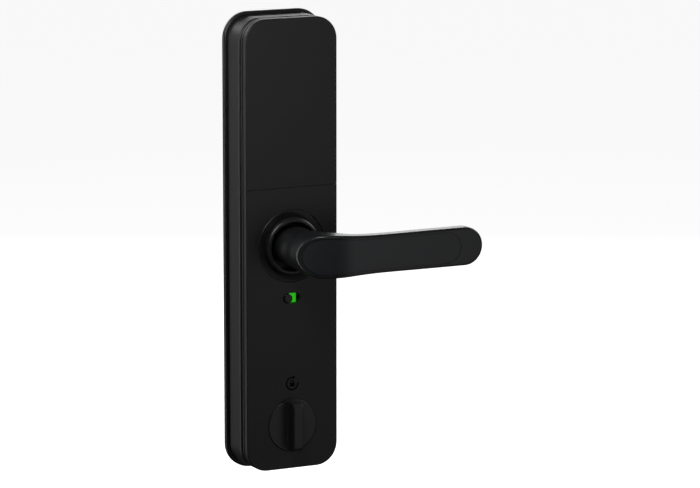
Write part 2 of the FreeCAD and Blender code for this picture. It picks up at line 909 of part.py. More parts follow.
def edges_on(shape, distance):
    """The edges that lie on a surface and run along it, not straight across the bar."""
    found = []
    for edge in shape.Edges:
        span = edge.LastParameter - edge.FirstParameter
        spots = [edge.valueAt(edge.FirstParameter + span * part / 4) for part in range(5)]
        on_surface = all(abs(distance(spot.x, -spot.y)) < 0.001 for spot in spots)
        if on_surface and edge.BoundBox.XLength > 0.001:
            found.append(edge)
    return found


def lever_bar():
    slab = extrude(lever_outline(0, lever_tip, join_depth), join_depth, lever_front + 1.0)
    bar = slab.common(behind_front(0)).cut(behind_back()).removeSplitter()
    bar = bar.makeFillet(lever_front_round, edges_on(bar, from_front))
    bar = bar.makeFillet(lever_back_round, edges_on(bar, from_back))
    return bar.cut(web_hollow())


def lever_neck():
    """The neck: a plain end inside the rose, a shoulder in front of it, a waist, and a flare to the bar."""
    along = FreeCAD.Vector(0, -1, 0)
    top = join_depth + 1.0
    near = shoulder_round * (1 - math.sqrt(0.5))
    shoulder = [
        point(shoulder_radius - shoulder_round, shoulder_back, 0),
        point(shoulder_radius - near, shoulder_back + near, 0),
        point(shoulder_radius, shoulder_back + shoulder_round, 0),
    ]
    flare_points = [
        point(shoulder_radius, shoulder_front, 0), point(waist_radius, waist_depth, 0),
        point(lever_root_radius, top, 0),
    ]
    flare = Part.BSplineCurve()
    flare.interpolate(Points=flare_points, InitialTangent=along, FinalTangent=along)
    corners = [
        flare_points[-1], point(0, top, 0), point(0, neck_back, 0), point(neck_radius, neck_back, 0),
        point(neck_radius, shoulder_back, 0), shoulder[0],
    ]
    edges = [Part.LineSegment(start, end).toShape() for start, end in zip(corners, corners[1:])]
    edges.append(Part.Arc(*shoulder).toShape())
    edges.append(Part.LineSegment(shoulder[-1], flare_points[0]).toShape())
    edges.append(flare.toShape())
    face = Part.Face(Part.Wire(edges))
    return face.revolve(FreeCAD.Vector(0, 0, 0), FreeCAD.Vector(0, 1, 0), 360)


def insert_outline(shrink):
    """What lies inside the insert's edge, seen from the room."""
    wire = lever_outline(insert_border + shrink, insert_end - shrink, 0)
    return extrude(wire, 0, lever_front + 1.0)


def lever_body():
    body = joined(lever_bar(), lever_neck())
    pocket = behind_front(-1.0).cut(behind_front(insert_thickness)).common(insert_outline(0))
    bore = disc(hub_spigot_radius + running_gap, neck_back, hub_spigot_front + 1.0)
    hole_start = FreeCAD.Vector(0, -set_screw_depth, -lever_root_radius)
    screw_hole = Part.makeCylinder(set_screw_radius + running_gap, lever_root_radius, hole_start)
    return body.cut([pocket, bore, screw_hole])


def lever_grip_insert():
    skin = behind_front(insert_recess).cut(behind_front(insert_thickness))
    return skin.common(insert_outline(insert_line))


def lever_set_screw():
    length = waist_radius - hub_spigot_radius - fit_gap
    start = FreeCAD.Vector(0, -set_screw_depth, -hub_spigot_radius - length)
    body = Part.makeCylinder(set_screw_radius, length, start)
    corners = [
        start + FreeCAD.Vector(set_screw_socket * math.cos(angle), set_screw_socket * math.sin(angle), 0)
        for angle in (math.pi / 3 * step for step in range(6))
    ]
    socket = Part.Face(Part.makePolygon(corners + corners[:1])).extrude(FreeCAD.Vector(0, 0, length / 2))
    return body.cut(socket)


def lever_hub():
    body = turned([
        (0, hub_back), (hub_radius, hub_back), (hub_radius, neck_back - fit_gap),
        (hub_spigot_radius, neck_back - fit_gap), (hub_spigot_radius, hub_spigot_front),
        (0, hub_spigot_front),
    ])
    groove_front = hub_clip_back + hub_clip_thickness + running_gap
    groove = ring(hub_radius + 1, hub_radius - clip_groove, hub_clip_back - running_gap, groove_front)
    cam = disc(cam_radius, cam_back, cam_front)
    lug = sector(cam_lug_radius, 180 - cam_lug_half_angle, 180 + cam_lug_half_angle, cam_back, cam_front)
    body = joined(body, cam, lug).cut(groove)
    half = spindle_side / 2 + running_gap
    return body.cut(block(-half, half, hub_back, hub_spigot_front, -half, half))


def sector(radius, start_degrees, end_degrees, back, front, inner=0.0):
    """A pie slice about the lever axis. Angles run from +X towards +Z."""
    start, end = math.radians(start_degrees), math.radians(end_degrees)
    middle = (start + end) / 2

    def polar(r, angle):
        return point(r * math.cos(angle), back, r * math.sin(angle))

    outer = Part.Arc(polar(radius, start), polar(radius, middle), polar(radius, end)).toShape()
    if inner > 0:
        inside = Part.Arc(polar(inner, end), polar(inner, middle), polar(inner, start)).toShape()
        sides = [
            Part.LineSegment(polar(radius, end), polar(inner, end)).toShape(),
            Part.LineSegment(polar(inner, start), polar(radius, start)).toShape(),
        ]
        return extrude(Part.Wire([outer, sides[0], inside, sides[1]]), back, front)
    centre = point(0, back, 0)
    sides = [
        Part.LineSegment(polar(radius, end), centre).toShape(),
        Part.LineSegment(centre, polar(radius, start)).toShape(),
    ]
    return extrude(Part.Wire([outer] + sides), back, front)


def circlip(shaft_radius, width, back, thickness, z):
    """A spring clip in a shaft's groove, open at the bottom."""
    front = back + thickness
    clip = ring(shaft_radius + width, shaft_radius - clip_groove + running_gap, back, front, 0, z)
    mouth = shaft_radius / 4
    return clip.cut(block(-mouth, mouth, back, front, z - shaft_radius - width - overlap, z))


def lever_circlip():
    return circlip(hub_radius, hub_clip_width, hub_clip_back, hub_clip_thickness, 0)


def square_spindle():
    half = spindle_side / 2
    bar = block(-half, half, -spindle_reach, hub_spigot_front - 1.0, -half, half)
    return bar.makeChamfer(spindle_chamfer, edges_along(bar, spindle_reach))


def lever_bush():
    inner = hub_radius + running_gap
    return turned([
        (inner, deck_back), (bush_body_radius, deck_back), (bush_body_radius, shell_front),
        (collar_inner - fit_gap, shell_front), (collar_inner - fit_gap, shell_front + bush_flange),
        (inner, shell_front + bush_flange),
    ])


def rose_collar():
    """A ring that stands in the rose: a small round inside, a large one outside, a flange under the dish."""
    top = face_depth + collar_height
    outer_round = collar_outer - collar_inner - collar_inner_round
    inner_top = point(collar_inner, top - collar_inner_round, 0)
    crest = point(collar_inner + collar_inner_round, top, 0)
    outer_top = point(collar_outer, top - outer_round, 0)
    flange_outer, flange_front = collar_outer + collar_flange_width, shell_front + collar_flange
    corners = [
        outer_top, point(collar_outer, flange_front, 0), point(flange_outer, flange_front, 0),
        point(flange_outer, shell_front, 0), point(collar_inner, shell_front, 0), inner_top,
    ]
    edges = [Part.LineSegment(a, b).toShape() for a, b in zip(corners, corners[1:])]
    near = 1 - math.sqrt(0.5)
    inner_middle = point(collar_inner + collar_inner_round * near, top - collar_inner_round * near, 0)
    outer_middle = point(collar_outer - outer_round * near, top - outer_round * near, 0)
    edges.append(Part.Arc(inner_top, inner_middle, crest).toShape())
    edges.append(Part.Arc(crest, outer_middle, outer_top).toShape())
    face = Part.Face(Part.Wire(edges))
    return face.revolve(FreeCAD.Vector(0, 0, 0), FreeCAD.Vector(0, 1, 0), 360)


def rose_dish():
    """A shallow cone round the collar, held under the panel's edge, with a skirt down to the collar."""
    inner = collar_outer + fit_gap
    edge = dish_outer - dish_edge
    rim_outer = dish_outer + dish_rim
    under = cover_inside - dish_rim
    foot = shell_front + collar_flange
    return turned([
        (inner, foot), (inner, face_depth - dish_drop), (edge - dish_edge, face_depth), (edge, face_depth),
        (dish_outer, face_depth - dish_edge), (dish_outer, cover_inside), (rim_outer, cover_inside),
        (rim_outer, under), (inner + dish_skirt, under), (inner + dish_skirt, foot),
    ])


def spring_cassette():
    front = deck_back
    floor_front = cassette_back + cassette_wall
    inner = cassette_radius - cassette_wall
    hole = hub_radius + fit_gap
    cup = turned([
        (hole, cassette_back), (cassette_radius, cassette_back), (cassette_radius, front), (inner, front),
        (inner, floor_front), (hole, floor_front),
    ])
    stops = []
    rest = 180 + cam_lug_half_angle
    pressed = 180 - cam_lug_half_angle - lever_turn_degrees
    spans = (
        (rest + stop_gap_degrees, rest + stop_end_degrees),
        (pressed - stop_end_degrees, pressed - stop_gap_degrees),
    )
    stop_outer, stop_inner = cassette_radius - overlap, cam_lug_radius - stop_width
    for start, end in spans:
        stops.append(sector(stop_outer, start, end, cassette_back + overlap, front, stop_inner))
    ears = []
    holes = []
    for sx in (-1, 1):
        for sz in (-1, 1):
            x, z = sx * cassette_ear, sz * cassette_ear
            ears.append(disc(cassette_ear_radius, front - cassette_ear_thickness, front, x, z))
            holes.append(disc(deck_screw_hole, front - cassette_ear_thickness, front, x, z))
    inside = disc(inner, floor_front, front)
    ears = [ear.cut(inside) for ear in ears]
    return without(joined(cup, *(stops + ears)), *holes)


def cassette_screws():
    head_height = cassette_screw_head_height
    head_back = deck_back - cassette_ear_thickness - head_height
    screws = []
    for sx in (-1, 1):
        for sz in (-1, 1):
            x, z = sx * cassette_ear, sz * cassette_ear
            screws.append(screw(cassette_screw_radius, cassette_screw_head, head_height, head_back,
                                cassette_screw_tip, x, z))
    return Part.makeCompound(screws)


def lever_return_spring():
    """A coil round the hub, between the cam and the cassette's floor."""
    margin = return_spring_wire + fit_gap
    back = cassette_back + cassette_wall + margin
    height = cam_back - margin - back
    origin = FreeCAD.Vector(0, 0, 0)
    body = coil(return_spring_radius, return_spring_wire, height, return_spring_turns, origin)
    body.rotate(origin, FreeCAD.Vector(1, 0, 0), 90)
    body.translate(FreeCAD.Vector(0, -back, 0))
    return body


# ------------------------------------------------------------------ privacy slide

def strip_block(gap):
    """Where the coloured strip lies, to the right of the knob."""
    x_low, x_high = slide_knob_x + slide_knob_radius - fit_gap - gap, strip_right + gap
    half = strip_half_height + gap
    back = carrier_front - strip_thickness
    return block(x_low, x_high, back, carrier_front, slide_height - half, slide_height + half)


def privacy_slider():
    low, high = slide_height - slide_carrier_half_height, slide_height + slide_carrier_half_height
    carrier = block(-slide_carrier_half, slide_carrier_half, carrier_back, carrier_front, low, high)
    carrier = carrier.cut(strip_block(0))
    top = face_depth + slide_knob_proud
    knob = disc(slide_knob_radius, carrier_front - strip_thickness, top, slide_knob_x, slide_height)
    knob = rounded_at(knob, slide_knob_round, top)
    peg_x = (-slide_peg_half, slide_peg_half)
    peg_z = (slide_height - slide_peg_half, slide_height + slide_peg_half)
    peg = block(*peg_x, switch_front - slide_peg_reach, carrier_back, *peg_z)
    return joined(carrier, knob, peg)


def indicator_strip():
    back = carrier_front - strip_thickness
    return strip_block(0).cut(disc(slide_knob_radius, back, carrier_front, slide_knob_x, slide_height))


def switch_board():
    low, high = slide_height - switch_board_half_height, slide_height + switch_board_half_height
    return block(-switch_board_left, switch_board_right, shell_front, switch_back, low, high)


def privacy_switch():
    low, high = slide_height - switch_half_height, slide_height + switch_half_height
    body = block(-switch_left, switch_right, switch_back, switch_front, low, high)
    half = slide_peg_half + switch_channel_gap
    channel = block(-half, slide_travel + half, switch_front - slide_peg_reach - fit_gap, switch_front,
                    slide_height - half, slide_height + half)
    return body.cut(channel)


# ------------------------------------------------------------------ thumbturn

def bar_root(side, back, front):
    """The hollow round between the bar's side and the disc under it."""
    centre_x = side * (turn_bar_width / 2 + turn_bar_root_round)
    centre_depth = front + turn_bar_root_round
    half = turn_radius - turn_bar_inset
    low, high = turn_height - half, turn_height + half
    x_low, x_high = lower_first(0, centre_x)
    fill = block(x_low, x_high, back, centre_depth, low, high)
    hollow = Part.makeCylinder(turn_bar_root_round, 2 * half, FreeCAD.Vector(centre_x, -centre_depth, low))
    return fill.cut(hollow).common(disc(half, back, centre_depth, 0, turn_height))


def turn_bar(back, front):
    """The grip bar across the disc. Its two ends fall away in a round."""
    radius = turn_radius - turn_bar_inset
    half = turn_bar_width / 2
    body = block(-half, half, back, front, turn_height - radius, turn_height + radius)
    body = body.common(disc(radius, back, front, 0, turn_height))
    ends = [edge for edge in body.Edges if lies_flat(edge, front) and edge.BoundBox.XLength > 0.001]
    body = body.makeFillet(turn_bar_end_round, ends)
    in_side_face = [edge for edge in body.Edges if edge.BoundBox.XLength < 0.001]
    rim = [edge for edge in in_side_face if edge.BoundBox.YMax < -back - 0.001]
    return body.makeFillet(turn_bar_round, rim)


def thumbturn_knob():
    front = face_depth + turn_proud
    back = front - turn_disc_thickness
    plate = rounded_at(disc(turn_radius, back, front, 0, turn_height), turn_edge_round, front)
    foot = back + overlap
    bar = turn_bar(foot, front + turn_bar_height)
    shaft = disc(turn_shaft_radius, turn_shaft_back, foot, 0, turn_height)
    body = joined(plate, bar, bar_root(-1, foot, front), bar_root(1, foot, front), shaft)
    groove_front = turn_clip_back + turn_clip_thickness + running_gap
    groove_back = turn_clip_back - running_gap
    groove_floor = turn_shaft_radius - clip_groove
    groove = ring(turn_shaft_radius + 1, groove_floor, groove_back, groove_front, 0, turn_height)
    half_w = tailpiece_width / 2 + running_gap
    half_t = tailpiece_thickness / 2 + running_gap
    slot_front = turn_shaft_back + turn_slot_length
    slot = block(-half_t, half_t, turn_shaft_back, slot_front, turn_height - half_w, turn_height + half_w)
    return body.cut([groove, slot])


def thumbturn_bush():
    inner = turn_shaft_radius + running_gap
    flange_radius = turn_bush_radius + turn_bush_flange_width
    flange_front = shell_front + turn_bush_flange
    return turned([
        (inner, deck_back), (turn_bush_radius, deck_back), (turn_bush_radius, shell_front),
        (flange_radius, shell_front), (flange_radius, flange_front), (inner, flange_front),
    ], 0, turn_height)


def thumbturn_cam():
    """A ring with four flats, which the leaf spring presses on to hold each quarter turn."""
    front = deck_back - turn_cam_gap
    body = ring(turn_cam_radius, turn_shaft_radius, turn_cam_back, front, 0, turn_height)
    low, high = turn_height - turn_cam_flat, turn_height + turn_cam_flat
    return body.common(block(-turn_cam_flat, turn_cam_flat, turn_cam_back, front, low, high))


def thumbturn_circlip():
    return circlip(turn_shaft_radius, turn_clip_width, turn_clip_back, turn_clip_thickness, turn_height)


def thumbturn_tailpiece():
    half_w, half_t = tailpiece_width / 2, tailpiece_thickness / 2
    front = turn_shaft_back + turn_slot_length - tailpiece_end_gap
    return block(-half_t, half_t, -tailpiece_reach, front, turn_height - half_w, turn_height + half_w)


def detent_spring():
    """A leaf spring between the cam's flat and a seat on the housing."""
    front = deck_back - leaf_deck_gap
    back = front - leaf_width
    foot_x = leaf_seat_x - leaf_foot
    leaf = block(foot_x - leaf_thickness, foot_x, back, front, turn_height - leaf_half_length,
                 turn_height + leaf_half_length)
    foot = block(foot_x, leaf_seat_x, back, front, turn_height - leaf_foot_half, turn_height + leaf_foot_half)
    return joined(leaf, foot)


def parts():
    yield "door_gasket", door_gasket()
    yield "rear_base", rear_base()
    yield "mounting_plate", mounting_plate()
    yield "main_housing", main_housing()
    yield "bezel_frame", bezel_frame()
    yield "front_panel", front_panel()
    yield "battery_cover", battery_cover()
    yield "panel_screws", panel_screws()
    yield "battery_tray", battery_tray()
    for column in range(cell_columns):
        for row in range(cell_rows):
            yield "battery_cell_%d" % (column * cell_rows + row + 1), battery_cell(column, row)
        yield "battery_spring_%d" % (column + 1), battery_spring(column)
    yield "contact_bridge_top_left", contact_plate(0, 1, contact_high - contact_thickness)
    yield "contact_bridge_top_right", contact_plate(2, 3, contact_high - contact_thickness)
    yield "contact_bridge_bottom", contact_plate(1, 2, contact_low)
    yield "contact_terminal_left", contact_terminal(0)
    yield "contact_terminal_right", contact_terminal(3)
    yield "main_board", main_board()
    yield "board_screws", board_screws()
    yield "radio_module", radio_module()
    yield "buzzer", buzzer()
    yield "board_capacitors", board_capacitors()
    yield "keypad_cable_socket", keypad_cable_socket()
    yield "mortise_cable_socket", mortise_cable_socket()
    yield "reset_switch", reset_switch()
    yield "reset_button", reset_button()
    yield "unit_screws", unit_screws()
    yield "rose_dish", rose_dish()
    yield "rose_collar", rose_collar()
    yield "lever_bush", lever_bush()
    yield "lever_body", lever_body()
    yield "lever_grip_insert", lever_grip_insert()
    yield "lever_set_screw", lever_set_screw()
    yield "lever_hub", lever_hub()
    yield "lever_circlip", lever_circlip()
    yield "square_spindle", square_spindle()
    yield "spring_cassette", spring_cassette()
    yield "cassette_screws", cassette_screws()
    yield "lever_return_spring", lever_return_spring()
    yield "privacy_slider", privacy_slider()
    yield "indicator_strip", indicator_strip()
    yield "switch_board", switch_board()
    yield "privacy_switch", privacy_switch()
    yield "lock_symbol", lock_symbol()
    yield "thumbturn_knob", thumbturn_knob()
    yield "thumbturn_bush", thumbturn_bush()
    yield "thumbturn_cam", thumbturn_cam()
    yield "thumbturn_circlip", thumbturn_circlip()
    yield "thumbturn_tailpiece", thumbturn_tailpiece()
    yield "detent_spring", detent_spring()


os.makedirs("parts", exist_ok=True)
for node, solid in parts():
    save(node, solid)
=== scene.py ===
# %% [markdown]
# # The room side of a smart lock, dressed for a studio picture
# The metalwork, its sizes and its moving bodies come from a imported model, which this script loads
# and never reshapes. What is added here is its surface and its light: the coats of paint, the
# plated steel, the moulded plastics, the printed sleeves of the cells and the wound springs.
# Every piece stands where the frame says, in metres: X to the right, Y into the door, Z up.

# %% Load the frame and measure it
import math

import bmesh
import bpy
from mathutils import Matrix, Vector


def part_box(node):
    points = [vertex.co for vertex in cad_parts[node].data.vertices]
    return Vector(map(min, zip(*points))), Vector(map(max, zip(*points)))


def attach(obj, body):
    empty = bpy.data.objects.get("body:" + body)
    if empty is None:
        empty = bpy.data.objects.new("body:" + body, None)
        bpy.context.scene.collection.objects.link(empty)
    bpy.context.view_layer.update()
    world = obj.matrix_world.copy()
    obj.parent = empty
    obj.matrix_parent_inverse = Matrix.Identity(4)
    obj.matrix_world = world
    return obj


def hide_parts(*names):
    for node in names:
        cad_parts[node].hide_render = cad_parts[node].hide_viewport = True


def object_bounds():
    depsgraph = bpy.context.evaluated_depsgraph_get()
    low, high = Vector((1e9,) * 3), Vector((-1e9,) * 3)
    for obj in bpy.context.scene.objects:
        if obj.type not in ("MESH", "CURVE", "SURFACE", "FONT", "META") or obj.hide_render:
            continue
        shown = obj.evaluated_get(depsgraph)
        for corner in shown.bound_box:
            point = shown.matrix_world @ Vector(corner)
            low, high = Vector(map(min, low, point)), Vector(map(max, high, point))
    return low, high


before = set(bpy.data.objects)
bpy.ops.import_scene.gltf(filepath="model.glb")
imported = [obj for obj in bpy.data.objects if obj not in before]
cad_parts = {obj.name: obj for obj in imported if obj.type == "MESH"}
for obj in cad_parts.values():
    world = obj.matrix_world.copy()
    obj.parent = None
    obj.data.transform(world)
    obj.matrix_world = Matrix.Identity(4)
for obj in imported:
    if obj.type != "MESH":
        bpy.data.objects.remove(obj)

MM = 0.001
cad_low, cad_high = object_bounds()
print("nodes", len(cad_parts), "size in mm", [round(side / MM, 1) for side in cad_high - cad_low])

# %% [markdown]
# A long lens far away keeps the tall plate's sides parallel, which is how a catalogue shows a
# fitting. The camera stands to the left of the plate and a little above it, so that the plate's
# left wall, its top and the lever's reach all show. The place and the aim are two vectors, and the
# camera is turned by asking for a rotation that tracks its own -Z along the aim.

# %% The camera
SENSOR_WIDTH = 36.0
FOCAL_LENGTH = 191.1
CAMERA_PLACE = (-1.0821, -2.2549, 0.4400)
CAMERA_AIM = (0.44489, 0.87838, -0.17470)

scene = bpy.context.scene
camera_data = bpy.data.cameras.new("catalogue_lens")
camera_data.sensor_width = SENSOR_WIDTH
camera_data.lens = FOCAL_LENGTH
camera_data.clip_start = 0.1
camera_data.clip_end = 60.0
camera = bpy.data.objects.new("catalogue_camera", camera_data)
camera.location = CAMERA_PLACE
camera.rotation_euler = Vector(CAMERA_AIM).to_track_quat("-Z", "Y").to_euler()
scene.collection.objects.link(camera)
scene.camera = camera
scene.view_settings.view_transform = "Standard"
print("camera stands", round(camera.location.length, 2), "m from the lever's axis")

# %% [markdown]
# Shader maths reads best as sums. This small class wraps a socket and lets +, - and * build the Math
# nodes, also where the plain number comes first. Every other node comes from one method, which sets
# the node's own settings before it fills its sockets. A colour goes through Mix nodes only, since a
# Math node would turn it grey.

# %% A socket that does sums, and the bench that makes finishes
class Signal:
    """A socket in a material that takes part in sums."""

    def __init__(self, finish, socket):
        self.finish = finish
        self.socket = socket

    def __add__(self, other):
        return self.finish.maths("ADD", self, other)

    def __radd__(self, other):
        return self.finish.maths("ADD", other, self)

    def __sub__(self, other):
        return self.finish.maths("SUBTRACT", self, other)

    def __rsub__(self, other):
        return self.finish.maths("SUBTRACT", other, self)

    def __mul__(self, other):
        return self.finish.maths("MULTIPLY", self, other)

    def __rmul__(self, other):
        return self.finish.maths("MULTIPLY", other, self)


class Finish:
    """A material with one Principled shader, and short words for what feeds it."""

    def __init__(self, name, colour, roughness, metallic=0.0, **uniform):
        self.material = bpy.data.materials.new(name)
        self.material.use_nodes = True
        self.tree = self.material.node_tree
        self.shader = self.tree.nodes["Principled BSDF"]
        self.set_socket("Base Color", colour)
        self.set_socket("Roughness", roughness)
        self.set_socket("Metallic", metallic)
        for socket_name, value in uniform.items():
            self.set_socket(socket_name.replace("_", " "), value)

    def set_socket(self, name, value):
        """Gives one of the shader's sockets a number, a colour or a link."""
        self.fill(self.shader.inputs[name], value)

    def fill(self, socket, value):
        if isinstance(value, Signal):
            self.tree.links.new(value.socket, socket)
        elif socket.type == "RGBA" and len(value) == 3:
            socket.default_value = (*value, 1.0)
        else:
            socket.default_value = value

    def node(self, kind, settings=None, inputs=None, output=0):
        """Adds a node: its settings first, then its sockets, by name or by number."""
        made = self.tree.nodes.new(kind)
        for name, value in (settings or {}).items():
            if name == "stops":
                for stop, (place, shade) in zip(self.stops_of(made, len(value)), value):
                    stop.position = place
                    stop.color = (shade, shade, shade, 1.0)
            else:
                setattr(made, name, value)
        for name, value in (inputs or {}).items():
            self.fill(made.inputs[name], value)
        return Signal(self, made.outputs[output])

    def stops_of(self, ramp_node, count):
        elements = ramp_node.color_ramp.elements
        while len(elements) < count:
            elements.new(1.0)
        return elements

    def maths(self, operation, first, second):
        return self.node("ShaderNodeMath", {"operation": operation}, {0: first, 1: second})

    def place(self, stretch=(1.0, 1.0, 1.0)):
        """The object's own coordinates, stretched per axis."""
        here = self.node("ShaderNodeTexCoord", output="Object")
        return self.node("ShaderNodeMapping", None, {"Vector": here, "Scale": stretch})

    def noise(self, grain, detail, where=None):
        """Noise whose patches are about grain metres across, from 0 to 1."""
        where = where or self.place()
        return self.node("ShaderNodeTexNoise", {"noise_dimensions": "3D"},
                         {"Vector": where, "Scale": 1.0 / grain, "Detail": detail})

    def ramp(self, value, *stops):
        return self.node("ShaderNodeValToRGB", {"stops": stops}, {"Fac": value})

    def mix(self, factor, first, second):
        return self.node("ShaderNodeMix", {"data_type": "RGBA"},
                         {0: factor, 6: first, 7: second}, output=2)

    def bump(self, height, depth):
        """A normal from a height between 0 and 1 that stands depth metres tall."""
        return self.node("ShaderNodeBump", None,
                         {"Height": height, "Distance": depth, "Strength": 1.0})


print("the bench is ready")

# %% [markdown]
# The visible metal is powder coated. Powder melts into a skin with a faint orange peel, a third
# of a millimetre across, and it takes light a little unevenly where the layer is thicker. So the
# coat is a dark colour with a slow drift, a roughness that follows the same drift, and a shallow
# bump at the scale of the peel. Each coated part gets its own pan of powder: they differ a little
# in depth of colour and in how satin they are. The base and the slider are black mouldings with a
# fine skin, which is the same thing in a shallower form.

# %% Coats
PEEL = 0.35 * MM
DRIFT = 9.0 * MM
SHADE_SPREAD = 0.12
SATIN_SPREAD = 0.06


def coat(name, shade, roughness, peel_depth=0.004 * MM, tint=(1.0, 1.0, 1.0)):
    """A satin coat: shade is its darkness, tint its cast."""
    finish = Finish(name, (0, 0, 0), roughness)
    drift = finish.noise(DRIFT, 3.0)
    thin = tuple(shade * (1 - SHADE_SPREAD) * t for t in tint)
    thick = tuple(shade * (1 + SHADE_SPREAD) * t for t in tint)
    finish.set_socket("Base Color", finish.mix(drift, thin, thick))
    finish.set_socket("Roughness", roughness - SATIN_SPREAD / 2 + drift * SATIN_SPREAD)
    peel = finish.noise(PEEL, 1.0)
    finish.set_socket("Normal", finish.bump(peel, peel_depth))
    return finish.material


coats = {
    "casing_grey": coat("casing_powder_coat", 0.0105, 0.46),
    "bezel_grey": coat("bezel_powder_coat", 0.0105, 0.42),
    "rose_grey": coat("rose_satin_coat", 0.012, 0.36, 0.003 * MM),
    "lever_grey": coat("lever_satin_coat", 0.014, 0.34, 0.003 * MM, (0.94, 1.0, 1.10)),
    "lever_insert_grey": coat("grip_satin_coat", 0.021, 0.38, 0.003 * MM, (0.92, 1.0, 1.14)),
    "turn_grey": coat("thumbturn_satin_coat", 0.020, 0.40, 0.003 * MM),
    "base_black": coat("base_moulded_black", 0.005, 0.45, 0.002 * MM),
    "slider_black": coat("slider_moulded_black", 0.006, 0.42, 0.002 * MM),
}
print("coats:", ", ".join(coats))

# %% [markdown]
# Bare and plated metal is a mirror with a grain. Drawn or rolled steel has long fine lines along its
# travel, so its noise is stretched a hundred times one way, while a casting has round mottling. The
# grain goes to roughness and to a very shallow bump, and a slower noise breaks up the colour, since
# zinc and nickel never plate quite evenly. Dull spots lie where that slow noise is brightest.

# %% Metals
GRAIN = 0.12 * MM
CLOUD = 6.0 * MM
TARNISH = 0.82
GRAIN_SPREAD = 0.12
DULL_SPOTS = 0.12


def metal(name, colour, roughness, stretch=(1.0, 1.0, 1.0), grain_depth=0.003 * MM):
    """A bare or plated metal: stretch below 1 draws its grain out along that axis."""
    finish = Finish(name, (0, 0, 0), roughness, 1.0)
    grain = finish.noise(GRAIN, 2.0, finish.place(stretch=stretch))
    cloud = finish.noise(CLOUD, 3.0)
    dark = tuple(c * TARNISH for c in colour)
    finish.set_socket("Base Color", finish.mix(cloud, dark, colour))
    spots = finish.ramp(cloud, (0.52, 0.0), (0.66, 1.0))
    finish.set_socket("Roughness",
                      roughness - GRAIN_SPREAD / 2 + grain * GRAIN_SPREAD + spots * DULL_SPOTS)
    finish.set_socket("Normal", finish.bump(grain, grain_depth))
    return finish.material


ALONG_X = (0.01, 1.0, 1.0)
ALONG_Z = (1.0, 1.0, 0.01)
metals = {
    "zinc_steel": metal("zinc_plated_steel", (0.60, 0.61, 0.62), 0.34, ALONG_Z),
    "screw_steel": metal("plated_screw_steel", (0.62, 0.62, 0.61), 0.28),
    "screw_black": metal("black_oxide_steel", (0.035, 0.036, 0.04), 0.38),
    "zinc_cast": metal("bare_zinc_casting", (0.42, 0.43, 0.45), 0.45, grain_depth=0.012 * MM),
    "spring_steel": metal("blued_spring_steel", (0.36, 0.37, 0.40), 0.26, ALONG_X),
    "contact_nickel": metal("nickel_plated_strip", (0.66, 0.62, 0.55), 0.24, ALONG_X),
    "shield_can": metal("tinned_sheet", (0.68, 0.69, 0.70), 0.33, ALONG_X),
}
print("metals:", ", ".join(metals))

# %% [markdown]
# Moulded plastic takes its surface from the tool. A spark-eroded tool leaves a fine even pitting,
# which shows as a matt skin with tiny glints, and a polished one leaves a gloss with faint flow
# marks. Acetal and nylon let light in a little, so they get some subsurface scatter, set as a plain
# number on the shader. Foam rubber is a matt black with closed cells a third of a millimetre
# wide. The inlaid symbol is a dead-matt ink, which hardly shines at all. The green of the indicator
# is a print, and a little emission paints a glow on it, so it shows brighter than the lamps light it
# down in its slot. The green of the indicator
# is a fluorescent print that gives back more green than falls on it, and a little emission does that.

# %% Plastics and rubber
FLOW = 14.0 * MM
FLOW_SHADE = 0.15
PIT_SPREAD = 0.08
FOAM_CELL = 0.3 * MM
FOAM_WALL = 0.05 * MM
FOAM_PALE = 1.8


def moulded(name, colour, roughness, pit=0.25 * MM, pit_depth=0.006 * MM, **uniform):
    """Moulded plastic, pitted by the tool: pit is the width of a pit."""
    finish = Finish(name, (0, 0, 0), roughness, **uniform)
    flow = finish.noise(FLOW, 3.0)
    deep = tuple(c * (1 - FLOW_SHADE) for c in colour)
    finish.set_socket("Base Color", finish.mix(flow, deep, colour))
    pits = finish.noise(pit, 2.0)
    finish.set_socket("Roughness", roughness - PIT_SPREAD / 2 + pits * PIT_SPREAD)
    finish.set_socket("Normal", finish.bump(pits, pit_depth))
    return finish.material


def foam(name, colour):
    """Closed-cell foam: round cells with thin walls."""
    finish = Finish(name, colour, 0.9)
    cells = finish.node("ShaderNodeTexVoronoi", {"voronoi_dimensions": "3D", "feature": "F1"},
                        {"Vector": finish.place(), "Scale": 1.0 / FOAM_CELL})
    walls = finish.ramp(cells, (0.15, 0.0), (0.6, 1.0))
    pale = tuple(c * FOAM_PALE for c in colour)
    finish.set_socket("Base Color", finish.mix(walls, colour, pale))
    finish.set_socket("Normal", finish.bump(walls, FOAM_WALL))
    return finish.material


plastics = {
    "gasket_rubber": foam("gasket_foam", (0.012, 0.012, 0.012)),
    "tray_black": moulded("tray_spark_texture", (0.018, 0.018, 0.019), 0.55, 0.35 * MM, 0.015 * MM),
    "component_black": moulded("component_epoxy", (0.014, 0.014, 0.015), 0.5, 0.15 * MM),
    "socket_white": moulded("socket_nylon", (0.72, 0.69, 0.60), 0.35, Subsurface_Weight=0.15),
    "button_red": moulded("button_acetal", (0.52, 0.02, 0.02), 0.4, Subsurface_Weight=0.1),
    "nylon_black": moulded("bearing_nylon", (0.008, 0.008, 0.009), 0.5),
    "nylon_white": moulded("cam_acetal", (0.70, 0.70, 0.66), 0.36, Subsurface_Weight=0.2),
    "symbol_black": moulded("symbol_print", (0.003, 0.003, 0.003), 0.6, 0.12 * MM, 0.002 * MM,
                            Specular_IOR_Level=0.05),
    # painted glow: the emission makes the green print brighter than the lamps light it in its shaded slot
    "indicator_green": moulded("indicator_print", (0.02, 0.62, 0.004), 0.35, 0.15 * MM, 0.002 * MM,
                               Emission_Color=(0.02, 0.8, 0.0), Emission_Strength=0.5),
}
print("plastics:", ", ".join(plastics))

